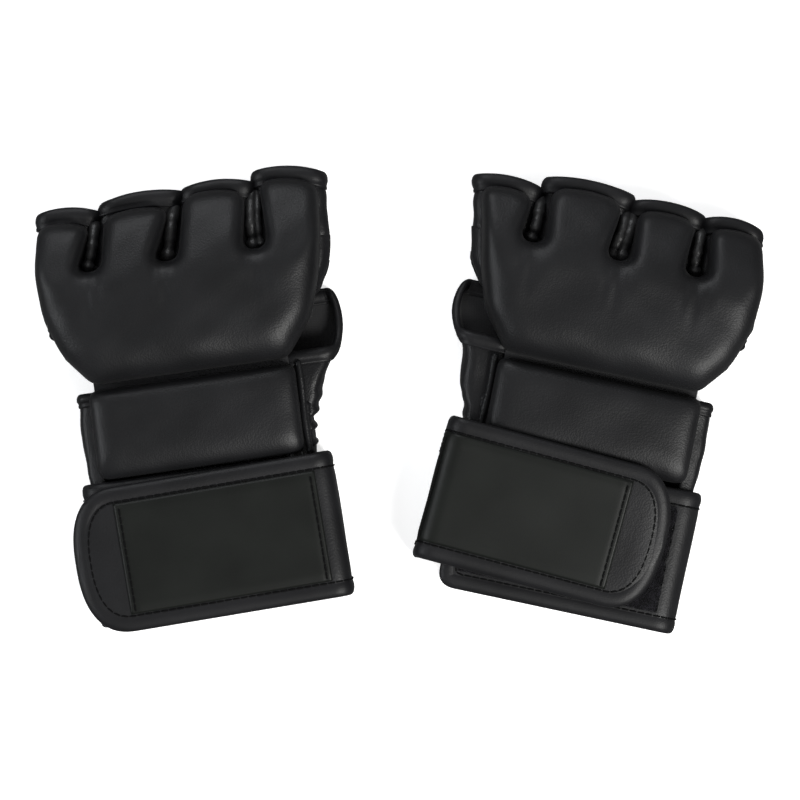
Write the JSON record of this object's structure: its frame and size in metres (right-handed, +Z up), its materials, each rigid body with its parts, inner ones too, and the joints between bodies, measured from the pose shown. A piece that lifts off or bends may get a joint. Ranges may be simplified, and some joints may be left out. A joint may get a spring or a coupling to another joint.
{
  "type": "mma glove",
  "caption": "Open-palm grappling gloves, left and right, with padded knuckles, half-finger sleeves, a thumb sleeve and a hook-and-loop wrist strap.",
  "frame": {"origin": "on the floor under the middle of the pair's bounding box, both gloves lying palm down", "axes": "+X from the left glove to the right glove, +Y towards the fingers, +Z up through the backs of the hands"},
  "size_m": [0.3002, 0.195, 0.0395],
  "materials": {
    "leather": "soft matte black synthetic leather with a fine grain",
    "edge_tape": "thin satin black edge tape, folded over and stitched",
    "lining": "black brushed nylon",
    "foam": "closed-cell moulded foam, hidden",
    "loop_cloth": "fuzzy black loop pile",
    "hook_cloth": "black nylon hook tape",
    "patch_rubber": "satin black moulded rubber"
  },
  "bodies": {
    "left_hand": {"left_knuckle_foam": "foam", "left_knuckle_skin": "leather", "left_back_foam": "foam", "left_back_skin": "leather", "left_liner": "lining", "left_palm_bar": "leather", "left_palm_heel": "leather", "left_palm_tape": "edge_tape"},
    "left_little": {"left_little_foam": "foam", "left_little_sleeve": "leather", "left_little_tape": "edge_tape"},
    "left_ring": {"left_ring_foam": "foam", "left_ring_sleeve": "leather", "left_ring_tape": "edge_tape"},
    "left_middle": {"left_middle_foam": "foam", "left_middle_sleeve": "leather", "left_middle_tape": "edge_tape"},
    "left_index": {"left_index_foam": "foam", "left_index_sleeve": "leather", "left_index_tape": "edge_tape"},
    "left_thumb": {"left_thumb_sleeve": "leather", "left_thumb_tape": "edge_tape"},
    "left_wrist": {"left_wrist_band": "leather", "left_wrist_tape": "edge_tape", "left_loop_field": "loop_cloth", "left_strap_fold": "leather"},
    "left_strap": {"left_strap_panel": "leather", "left_strap_tape": "edge_tape", "left_hook_field": "hook_cloth", "left_strap_patch": "patch_rubber"},
    "right_hand": {"right_knuckle_foam": "foam", "right_knuckle_skin": "leather", "right_back_foam": "foam", "right_back_skin": "leather", "right_liner": "lining", "right_palm_bar": "leather", "right_palm_heel": "leather", "right_palm_tape": "edge_tape"},
    "right_little": {"right_little_foam": "foam", "right_little_sleeve": "leather", "right_little_tape": "edge_tape"},
    "right_ring": {"right_ring_foam": "foam", "right_ring_sleeve": "leather", "right_ring_tape": "edge_tape"},
    "right_middle": {"right_middle_foam": "foam", "right_middle_sleeve": "leather", "right_middle_tape": "edge_tape"},
    "right_index": {"right_index_foam": "foam", "right_index_sleeve": "leather", "right_index_tape": "edge_tape"},
    "right_thumb": {"right_thumb_sleeve": "leather", "right_thumb_tape": "edge_tape"},
    "right_wrist": {"right_wrist_band": "leather", "right_wrist_tape": "edge_tape", "right_loop_field": "loop_cloth", "right_strap_fold": "leather"},
    "right_strap": {"right_strap_panel": "leather", "right_strap_tape": "edge_tape", "right_hook_field": "hook_cloth", "right_strap_patch": "patch_rubber"}
  },
  "joints": [
    {"name": "left_little_curl", "type": "hinge", "parent": "left_hand", "child": "left_little", "pos_m": [-0.14125, 0.05262, 0.018], "axis": [-0.9903, -0.1392, 0], "range_deg": [0, 30], "stiffness_Nm_per_rad": 0.02},
    {"name": "left_ring_curl", "type": "hinge", "parent": "left_hand", "child": "left_ring", "pos_m": [-0.11228, 0.05669, 0.018], "axis": [-0.9903, -0.1392, 0], "range_deg": [0, 30], "stiffness_Nm_per_rad": 0.02},
    {"name": "left_middle_curl", "type": "hinge", "parent": "left_hand", "child": "left_middle", "pos_m": [-0.07787, 0.06153, 0.018], "axis": [-0.9903, -0.1392, 0], "range_deg": [0, 30], "stiffness_Nm_per_rad": 0.02},
    {"name": "left_index_curl", "type": "hinge", "parent": "left_hand", "child": "left_index", "pos_m": [-0.0442, 0.06626, 0.018], "axis": [-0.9903, -0.1392, 0], "range_deg": [0, 30], "stiffness_Nm_per_rad": 0.02},
    {"name": "left_thumb_spread", "type": "hinge", "parent": "left_hand", "child": "left_thumb", "pos_m": [-0.04204, -0.01018, 0.008], "axis": [0, 0, -1], "range_deg": [0, 25], "stiffness_Nm_per_rad": 0.02},
    {"name": "left_wrist_bend", "type": "hinge", "parent": "left_hand", "child": "left_wrist", "pos_m": [-0.07789, -0.02815, 0.018], "axis": [0.9903, 0.1392, 0], "range_deg": [0, 15], "stiffness_Nm_per_rad": 0.1},
    {"name": "left_strap_peel", "type": "hinge", "parent": "left_wrist", "child": "left_strap", "pos_m": [-0.03011, -0.05193, 0.0295], "axis": [-0.165, 0.9863, 0], "range_deg": [0, 150]},
    {"name": "right_little_curl", "type": "hinge", "parent": "right_hand", "child": "right_little", "pos_m": [0.13788, 0.04907, 0.018], "axis": [-0.9781, 0.2079, 0], "range_deg": [0, 30], "stiffness_Nm_per_rad": 0.02},
    {"name": "right_ring_curl", "type": "hinge", "parent": "right_hand", "child": "right_ring", "pos_m": [0.10584, 0.05588, 0.018], "axis": [-0.9781, 0.2079, 0], "range_deg": [0, 30], "stiffness_Nm_per_rad": 0.02},
    {"name": "right_middle_curl", "type": "hinge", "parent": "right_hand", "child": "right_middle", "pos_m": [0.07234, 0.063, 0.018], "axis": [-0.9781, 0.2079, 0], "range_deg": [0, 30], "stiffness_Nm_per_rad": 0.02},
    {"name": "right_index_curl", "type": "hinge", "parent": "right_hand", "child": "right_index", "pos_m": [0.04251, 0.06934, 0.018], "axis": [-0.9781, 0.2079, 0], "range_deg": [0, 30], "stiffness_Nm_per_rad": 0.02},
    {"name": "right_thumb_spread", "type": "hinge", "parent": "right_hand", "child": "right_thumb", "pos_m": [0.03795, -0.00739, 0.008], "axis": [0, 0, 1], "range_deg": [0, 25], "stiffness_Nm_per_rad": 0.02},
    {"name": "right_wrist_bend", "type": "hinge", "parent": "right_hand", "child": "right_wrist", "pos_m": [0.07246, -0.02781, 0.018], "axis": [0.9781, -0.2079, 0], "range_deg": [0, 15], "stiffness_Nm_per_rad": 0.1},
    {"name": "right_strap_peel", "type": "hinge", "parent": "right_wrist", "child": "right_strap", "pos_m": [0.0198, -0.03743, 0.03169], "axis": [-0.2581, -0.9633, -0.0732], "range_deg": [0, 150]},
    {"name": "right_glove_lift", "type": "slide", "parent": "left_hand", "child": "right_hand", "axis": [0, 0, 1], "range_m": [0, 0.12]}
  ]
}
